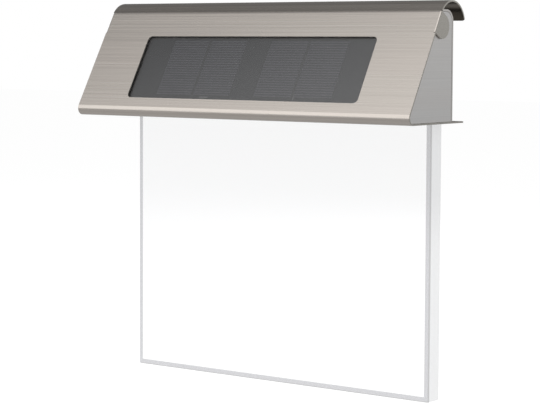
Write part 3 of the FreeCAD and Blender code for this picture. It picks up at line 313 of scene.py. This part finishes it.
def placed_coordinates(tree, scale, place=(-1000, 0), centre=(0.0, 0.0, 0.0)):
    """The object's own coordinates about a centre, stretched by a scale for each axis."""
    coordinates = new_node(tree, "ShaderNodeTexCoord", (place[0] - 200, place[1]))
    mapping = new_node(tree, "ShaderNodeMapping", place)
    tree.links.new(coordinates.outputs["Object"], mapping.inputs["Vector"])
    mapping.inputs["Scale"].default_value = scale
    mapping.inputs["Location"].default_value = [-middle * stretch for middle, stretch in zip(centre, scale)]
    return mapping.outputs["Vector"]


def add_bump(tree, shader, height, strength, distance):
    bump = new_node(tree, "ShaderNodeBump", (50, -350))
    bump.inputs["Strength"].default_value = strength
    bump.inputs["Distance"].default_value = distance
    tree.links.new(height, bump.inputs["Height"])
    tree.links.new(bump.outputs["Normal"], shader.inputs["Normal"])


def axis_facing(tree, axis, place, low, high):
    """1 where the surface faces along this axis, either way, and 0 where it doesn't."""
    coordinates = new_node(tree, "ShaderNodeTexCoord", (place[0] - 600, place[1]))
    parts = new_node(tree, "ShaderNodeSeparateXYZ", (place[0] - 400, place[1]))
    tree.links.new(coordinates.outputs["Normal"], parts.inputs["Vector"])
    amount = arithmetic(tree, "ABSOLUTE", (place[0] - 200, place[1]), parts.outputs[axis])
    return ranged(tree, amount, place, low, high, 0.0, 1.0)


def brushed_steel(name, stretch, colour=steel_colour, streaks=steel_streaks, roughness=0.24,
                  relief=0.35, cut_and_shade_tint=None, inside_shade_colour=None):
    """Brushed sheet. The colour for faces that look along X darkens the cut edges, and is painted shade on
    the folded end tabs. The colour for the inside of the curl is painted shade over the sheet's dull
    unbrushed side."""
    material, tree, shader = new_material(name)
    grain = new_node(tree, "ShaderNodeGroup", (-500, 0))
    grain.node_tree = brushed_grain
    tree.links.new(placed_coordinates(tree, stretch), grain.inputs["Vector"])
    grain.inputs["Colour"].default_value = colour
    grain.inputs["Streaks"].default_value = streaks
    grain.inputs["Roughness"].default_value = roughness
    shown = grain.outputs["Colour"]
    # Painted shade: the inside face of the curl is blended to near black.
    if inside_shade_colour:
        about_curl = placed_coordinates(tree, (0.0, 1.0, 1.0), (-700, 800), curl_axis)
        reach = new_node(tree, "ShaderNodeVectorMath", (-500, 800), operation="LENGTH")
        tree.links.new(about_curl, reach.inputs[0])
        inside = ranged(tree, reach.outputs["Value"], (-300, 800), curl_wall_middle - half_step,
                        curl_wall_middle + half_step, 1.0, 0.0)
        shown = blended(tree, inside, (-100, 700), shown, inside_shade_colour)
    # Painted shade: faces that look along X, the end tabs among them, are darkened along with the cut edges.
    if cut_and_shade_tint:
        x_faces_cut_and_shaded = axis_facing(tree, "X", (-300, 500), 0.7, 0.95)
        shown = blended(tree, x_faces_cut_and_shaded, (0, 300), shown, cut_and_shade_tint)
    tree.links.new(shown, shader.inputs["Base Color"])
    tree.links.new(grain.outputs["Roughness"], shader.inputs["Roughness"])
    shader.inputs["Metallic"].default_value = 1.0
    add_bump(tree, shader, grain.outputs["Height"], relief, steel_relief)
    return material


def finish_node(name, material):
    """Give a CAD node its finish, in the material slots that it has."""
    holder = nodes[name]
    if not holder.material_slots:
        holder.data.materials.append(material)
    for place in holder.material_slots:
        place.material = material


finish_node("hood", brushed_steel("hood_steel", (grain_length, grain_pitch, grain_pitch),
                                  cut_and_shade_tint=cut_and_shade_colour, inside_shade_colour=curl_shade_colour))

# End plates: bent blanks of the same steel let in at both ends of the hood. Their brushing runs from
# front to back, and their folded lips carry the rear cover's screws.
end_steel = brushed_steel("end_steel", (grain_pitch, grain_length, grain_pitch),
                          (0.600, 0.596, 0.590, 1.0), 0.035, 0.38)
finish_node("side_plate_left", end_steel)
finish_node("side_plate_right", end_steel)

# Rear cover: a sheet brushed along its length that closes the back and turns in under the curl. It is
# screwed to the end plates' lips, and the switch's small frame is of the same sheet.
cover_steel = brushed_steel("cover_steel", (grain_length, grain_pitch, grain_pitch),
                            (0.560, 0.545, 0.525, 1.0), 0.05, 0.34)
finish_node("rear_cover", cover_steel)
finish_node("switch_frame", cover_steel)

# Solar window: a dark clear pane over four cells in two pairs, on a black rubber line round the cut-out.
# The cells are dark blue-grey with fine silver fingers along the hood; their tinned solder spots carry a
# painted glint.
slope_angle = math.radians(60.0)
finger_pitch = 0.0014
finger_width = 0.00022
finger_core, finger_edge = 0.4, 0.9
mottle_relief = 0.0001
crystal_scale = 260.0
smear_scale = 60.0
pane_alpha = 0.55
pane_index = 2.3
spot_core, spot_edge = 0.8, 1.1
bare_colour = (0.042, 0.044, 0.047, 1.0)
# Near white: a painted glint on the tinned solder spots, which are real.
solder_glint_colour = (0.95, 0.95, 0.93, 1.0)


def slope_coordinates(tree, place=(-1200, 0)):
    """The object's coordinates turned so that Y runs up the slope and Z out of it."""
    coordinates = new_node(tree, "ShaderNodeTexCoord", (place[0] - 200, place[1]))
    turn = new_node(tree, "ShaderNodeMapping", place)
    turn.inputs["Rotation"].default_value = (-slope_angle, 0.0, 0.0)
    tree.links.new(coordinates.outputs["Object"], turn.inputs["Vector"])
    return turn.outputs["Vector"]


def slope_height(y, z):
    """How far up the slope a place is."""
    return y * math.cos(slope_angle) + z * math.sin(slope_angle)


def mottled(name, colour, second, scale, roughness, roughness_shift=0.08, metallic=0.0, bump=0.0,
            bump_scale=None, coat=0.0, stretch=(1.0, 1.0, 1.0)):
    """A finish that wanders between two colours, with its roughness and its relief."""
    material, tree, shader = new_material(name)
    vector = placed_coordinates(tree, stretch)
    patches = noise(tree, vector, (-700, 200), scale, 3.0, 0.6)
    factor = ranged(tree, patches, (-450, 200), noise_low, noise_high, 0.0, 1.0)
    tree.links.new(blended(tree, factor, (-200, 200), colour, second), shader.inputs["Base Color"])
    tree.links.new(ranged(tree, patches, (-200, -50), noise_low, noise_high, roughness - roughness_shift,
                          roughness + roughness_shift), shader.inputs["Roughness"])
    shader.inputs["Metallic"].default_value = metallic
    shader.inputs["Coat Weight"].default_value = coat
    if bump:
        grain = noise(tree, vector, (-700, -300), bump_scale or scale * 6, 2.0)
        add_bump(tree, shader, grain, bump, mottle_relief)
    return material


finish_node("window_gasket", mottled("black_rubber", (0.012, 0.012, 0.012, 1.0), (0.02, 0.02, 0.02, 1.0),
                                     900.0, 0.6, bump=0.15))

cell_foot = slope_height(*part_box("solar_cells")[0][1:])
bare_strip = 0.0024
solder_low = cell_foot + 0.0010
solder_glint_spots = (
    # middle along the hood, its height on the slope, half its length and half its width
    (-0.0232, solder_low, 0.0027, 0.0004),
    (0.0321, solder_low + 0.0009, 0.0003, 0.0010),
)


def with_solder_glints(material):
    """Tinned spots on a finish where the ribbons are soldered at the foot of the cells, drawn near white as a
    painted glint.
    """
    tree = material.node_tree
    shader = next(node for node in tree.nodes if node.type == "BSDF_PRINCIPLED")
    shown = shader.inputs["Base Color"].links[0].from_socket
    axes = new_node(tree, "ShaderNodeSeparateXYZ", (-900, 900))
    tree.links.new(slope_coordinates(tree, (-1100, 900)), axes.inputs["Vector"])
    for row, (along, height, half_length, half_width) in enumerate(solder_glint_spots):
        place = (-650 + 80 * row, 900 + 200 * row)
        cover = []
        for axis, middle, half in (("X", along, half_length), ("Y", height, half_width)):
            apart = arithmetic(tree, "SUBTRACT", place, axes.outputs[axis], middle)
            away = arithmetic(tree, "ABSOLUTE", place, apart)
            cover.append(ranged(tree, away, place, half * spot_core, half * spot_edge, 1.0, 0.0))
        spot = arithmetic(tree, "MULTIPLY", place, cover[0], cover[1])
        # Painted glint: the tinned spots are blended to near white.
        shown = blended(tree, spot, place, shown, solder_glint_colour)
    tree.links.new(shown, shader.inputs["Base Color"])
    return material


finish_node("solar_backboard", with_solder_glints(mottled("module_board", (0.034, 0.036, 0.038, 1.0),
                                                   (0.042, 0.044, 0.046, 1.0), 30.0, 0.5)))

pane, tree, shader = new_material("tinted_pane")
vector = placed_coordinates(tree, (1.0, 1.0, 1.0))
smears = noise(tree, vector, (-700, 0), smear_scale, 3.0)
tree.links.new(ranged(tree, smears, (-450, 0), noise_low, noise_high, 0.04, 0.09), shader.inputs["Roughness"])
tree.links.new(blended(tree, smears, (-450, 250), (0.022, 0.023, 0.025, 1.0), (0.027, 0.028, 0.031, 1.0)),
               shader.inputs["Base Color"])
shader.inputs["Alpha"].default_value = pane_alpha
shader.inputs["IOR"].default_value = pane_index
finish_node("solar_glass", pane)

wafer, tree, shader = new_material("solar_cell")
slope = slope_coordinates(tree)
axes = new_node(tree, "ShaderNodeSeparateXYZ", (-1000, 0))
tree.links.new(slope, axes.inputs["Vector"])
steps_up = arithmetic(tree, "DIVIDE", (-850, 0), axes.outputs["Y"], finger_pitch)
phase = arithmetic(tree, "FRACT", (-700, 0), steps_up)
off_middle = arithmetic(tree, "SUBTRACT", (-550, 0), phase, 0.5)
from_middle = arithmetic(tree, "ABSOLUTE", (-400, 0), off_middle)
finger_share = finger_width / finger_pitch
finger = ranged(tree, from_middle, (-250, 0), finger_share * finger_core, finger_share * finger_edge,
                1.0, 0.0)
grains = noise(tree, slope, (-700, 400), crystal_scale, 3.0)
silicon = blended(tree, grains, (-400, 400), (0.150, 0.148, 0.205, 1.0), (0.170, 0.168, 0.230, 1.0))
fingered = blended(tree, finger, (-100, 300), silicon, (0.620, 0.620, 0.680, 1.0))
bare_top = cell_foot + bare_strip
bare = ranged(tree, axes.outputs["Y"], (-250, 600), bare_top - 2 * half_step, bare_top, 1.0, 0.0)
tree.links.new(blended(tree, bare, (50, 500), fingered, bare_colour), shader.inputs["Base Color"])
tree.links.new(ranged(tree, finger, (-100, 0), 0.0, 1.0, 0.32, 0.45), shader.inputs["Roughness"])
finish_node("solar_cells", with_solder_glints(wafer))
finish_node("cell_ribbons", with_solder_glints(mottled("ribbon_metal", (0.10, 0.10, 0.105, 1.0),
                                                (0.13, 0.13, 0.135, 1.0), 300.0, 0.4, metallic=0.3)))

# Clear plate: a 10 mm sheet of cast acrylic with polished, bevelled edges, hung from the rail by three
# screws. Its faces are nearly clear; its edges and a band along its ends and foot carry a painted reflection.
plate_low, plate_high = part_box("acrylic_plate")
rim_width = 0.0028
rim_fade = 0.0003
# Opacities: the edges and the band along the ends and foot are more opaque as a painted reflection.
face_alpha, rim_alpha = 0.08, 0.55
bevel_alpha, side_alpha = 0.60, 0.36
acrylic_index = 1.49
haze_scale = 25.0

clear, tree, shader = new_material("clear_acrylic")
vector = placed_coordinates(tree, (1.0, 1.0, 1.0))
haze = noise(tree, vector, (-900, 0), haze_scale)
tree.links.new(ranged(tree, haze, (-450, 0), noise_low, noise_high, 0.03, 0.07), shader.inputs["Roughness"])
broad_face = axis_facing(tree, "Y", (-700, -300), 0.85, 0.97)
narrow_face = axis_facing(tree, "Y", (-700, -600), 0.55, 0.15)
axes = new_node(tree, "ShaderNodeSeparateXYZ", (-1100, 700))
tree.links.new(vector, axes.inputs["Vector"])
from_end = arithmetic(tree, "SUBTRACT", (-700, 700), plate_high[0],
                      arithmetic(tree, "ABSOLUTE", (-900, 700), axes.outputs["X"]))
from_foot = arithmetic(tree, "SUBTRACT", (-700, 900), axes.outputs["Z"], plate_low[2])
# Painted reflection: a band along the ends and the foot of the faces is made greyer and more opaque.
reflection_rim = ranged(tree, arithmetic(tree, "MINIMUM", (-500, 800), from_end, from_foot), (-300, 800),
             rim_width - rim_fade, rim_width, 1.0, 0.0)
# Painted reflection: the edge faces are grey, darker on the bevels than on the sides.
edge_reflection_tint = blended(tree, narrow_face, (-250, 450), (0.20, 0.20, 0.21, 1.0), (0.34, 0.35, 0.37, 1.0))
plain_tint = blended(tree, haze, (-450, 250), (0.28, 0.31, 0.35, 1.0), (0.31, 0.34, 0.38, 1.0))
rimmed_tint = blended(tree, reflection_rim, (-200, 250), plain_tint, (0.30, 0.30, 0.335, 1.0))
tree.links.new(blended(tree, broad_face, (0, 300), edge_reflection_tint, rimmed_tint), shader.inputs["Base Color"])
edge_cover = ranged(tree, narrow_face, (-450, -600), 0.0, 1.0, bevel_alpha, side_alpha)
face_cover = ranged(tree, reflection_rim, (-450, -300), 0.0, 1.0, face_alpha, rim_alpha)
front_cover = ranged(tree, broad_face, (-200, -300), 0.0, 1.0, edge_cover, face_cover)
inner_side = new_node(tree, "ShaderNodeNewGeometry", (-200, -600)).outputs["Backfacing"]
tree.links.new(ranged(tree, inner_side, (50, -300), 0.0, 1.0, front_cover, 0.0), shader.inputs["Alpha"])
shader.inputs["IOR"].default_value = acrylic_index
finish_node("acrylic_plate", clear)

# Light rail: a moulded black channel that grips the plate's top edge, with a white circuit strip and six
# light-emitting packages under its roof, facing down into the plate.
finish_node("light_rail", mottled("rail_plastic", (0.030, 0.030, 0.032, 1.0), (0.040, 0.040, 0.042, 1.0),
                                  350.0, 0.5, bump=0.25, bump_scale=2600.0))
finish_node("led_board", mottled("white_laminate", (0.78, 0.78, 0.76, 1.0), (0.84, 0.84, 0.82, 1.0),
                                 200.0, 0.3, coat=0.2))
finish_node("leds", mottled("phosphor", (0.80, 0.66, 0.22, 1.0), (0.88, 0.80, 0.50, 1.0), 900.0, 0.35))

# Battery bay: a moulded trough behind the rear cover with a sleeve-wrapped cell, two nickel contacts, and
# a flat door on a rubber seal, held by two screws.
black_plastic = mottled("moulded_black", (0.024, 0.024, 0.026, 1.0), (0.034, 0.034, 0.036, 1.0), 300.0,
                        0.48, bump=0.3, bump_scale=2200.0)
nickel = mottled("nickel_sheet", (0.60, 0.58, 0.54, 1.0), (0.66, 0.65, 0.62, 1.0), 500.0, 0.25,
                 metallic=1.0)
for name in ("battery_holder", "battery_door"):
    finish_node(name, black_plastic)
for name in ("contact_plus", "contact_spring"):
    finish_node(name, nickel)
finish_node("door_seal", mottled("door_rubber", (0.018, 0.018, 0.018, 1.0), (0.03, 0.03, 0.03, 1.0), 700.0,
                                 0.75, bump=0.2))
finish_node("battery_cell", mottled("green_sleeve", (0.05, 0.18, 0.07, 1.0), (0.07, 0.22, 0.09, 1.0), 120.0,
                                    0.3, coat=0.4))

# Control board: a green laminate on four brass posts, with the small chip, coil, storage can and four
# resistors that charge the cell by day and light the strip at dusk.
finish_node("control_board", mottled("green_laminate", (0.010, 0.085, 0.035, 1.0),
                                     (0.016, 0.115, 0.050, 1.0), 260.0, 0.35, coat=0.3))
finish_node("board_posts", mottled("brass", (0.62, 0.45, 0.17, 1.0), (0.70, 0.53, 0.24, 1.0), 600.0, 0.28,
                                   metallic=1.0))
finish_node("board_chip", mottled("chip_case", (0.018, 0.018, 0.02, 1.0), (0.03, 0.03, 0.032, 1.0), 1500.0,
                                  0.5, bump=0.2))
finish_node("board_coil", mottled("ferrite", (0.05, 0.048, 0.045, 1.0), (0.075, 0.07, 0.065, 1.0), 1200.0,
                                  0.55, bump=0.2))
finish_node("board_capacitor", mottled("can_metal", (0.68, 0.68, 0.69, 1.0), (0.76, 0.76, 0.77, 1.0), 400.0,
                                       0.25, metallic=1.0, stretch=(1.0, 12.0, 1.0)))
finish_node("board_resistors", mottled("resistor_glaze", (0.02, 0.02, 0.024, 1.0), (0.035, 0.035, 0.04, 1.0),
                                       2000.0, 0.35))

# Slide switch: a black housing with three tinned pins, on the steel frame behind the rear cover. Its
# knob stands out of the slot, and it is the one piece that moves.
finish_node("switch_body", black_plastic)
finish_node("switch_pins", nickel)
finish_node("switch_knob", mottled("knob_plastic", (0.020, 0.020, 0.021, 1.0), (0.032, 0.032, 0.033, 1.0),
                                   500.0, 0.42, bump=0.15, bump_scale=3000.0))

# Screws: bright plated steel with cross recesses. They hold the battery door, the rear cover, the rail,
# the clear plate, the switch and the control board.
screw_metal = mottled("plated_steel", (0.55, 0.55, 0.54, 1.0), (0.66, 0.66, 0.65, 1.0), 900.0, 0.24, 0.06,
                      metallic=1.0, bump=0.08)
for name in ("cover_screws", "door_screws", "switch_screws", "rail_screws", "clamp_screws",
             "board_screws"):
    finish_node(name, screw_metal)

# Wires: pairs of soft insulated wire, one colour to a pair. They run inside the hood from the panel, the
# cell, the switch and the strip to the control board.
wire_colours = (
    ("led_wires", (0.55, 0.55, 0.54, 1.0), (0.62, 0.62, 0.60, 1.0)),
    ("switch_wires", (0.50, 0.34, 0.03, 1.0), (0.58, 0.42, 0.06, 1.0)),
    ("battery_wires", (0.42, 0.015, 0.012, 1.0), (0.50, 0.03, 0.02, 1.0)),
    ("panel_wires", (0.02, 0.06, 0.30, 1.0), (0.03, 0.08, 0.36, 1.0)),
)
for name, colour, second in wire_colours:
    finish_node(name, mottled(name + "_insulation", colour, second, 500.0, 0.4, bump=0.05))
